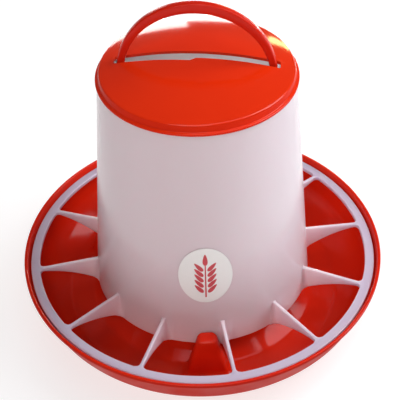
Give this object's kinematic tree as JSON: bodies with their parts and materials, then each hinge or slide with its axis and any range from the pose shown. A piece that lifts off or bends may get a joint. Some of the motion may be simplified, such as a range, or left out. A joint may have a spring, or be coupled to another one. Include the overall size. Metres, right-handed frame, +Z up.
{
  "type": "gravity poultry feeder",
  "caption": "Hanging or standing gravity poultry feeder: conical hopper with a slotted lid and arch handle, over a round pan divided by a spoked anti-waste grille.",
  "frame": {"origin": "centre of the base, on the floor under the middle of the pan", "axes": "+Z up along the feeder's axis, X along the carry handle, -Y to the label side"},
  "size_m": [0.3, 0.3, 0.2764],
  "materials": {
    "pan_red": "glossy red moulded polypropylene",
    "lid_red": "glossy red moulded polypropylene",
    "handle_red": "glossy red moulded polypropylene",
    "hopper_white": "natural translucent polypropylene, satin",
    "label_paper": "smooth white label film"
  },
  "bodies": {
    "pan": {"feed_pan": "pan_red"},
    "hopper": {"hopper_barrel": "hopper_white", "grille_ring": "hopper_white", "grille_fin_01": "hopper_white", "grille_fin_02": "hopper_white", "grille_fin_03": "hopper_white", "grille_fin_04": "hopper_white", "grille_fin_05": "hopper_white", "grille_fin_06": "hopper_white", "grille_fin_07": "hopper_white", "grille_fin_08": "hopper_white", "grille_fin_09": "hopper_white", "grille_fin_10": "hopper_white", "grille_fin_11": "hopper_white", "grille_fin_12": "hopper_white", "carry_handle": "handle_red", "label": "label_paper"},
    "lid": {"lid": "lid_red"}
  },
  "joints": [
    {"name": "hopper_twist", "type": "hinge", "parent": "pan", "child": "hopper", "pos_m": [0, 0, 0.023], "axis": [0, 0, 1], "range_deg": [0, 13.5]},
    {"name": "lid_lift", "type": "slide", "parent": "hopper", "child": "lid", "axis": [0, 0, 1], "range_m": [0, 0.075]}
  ]
}
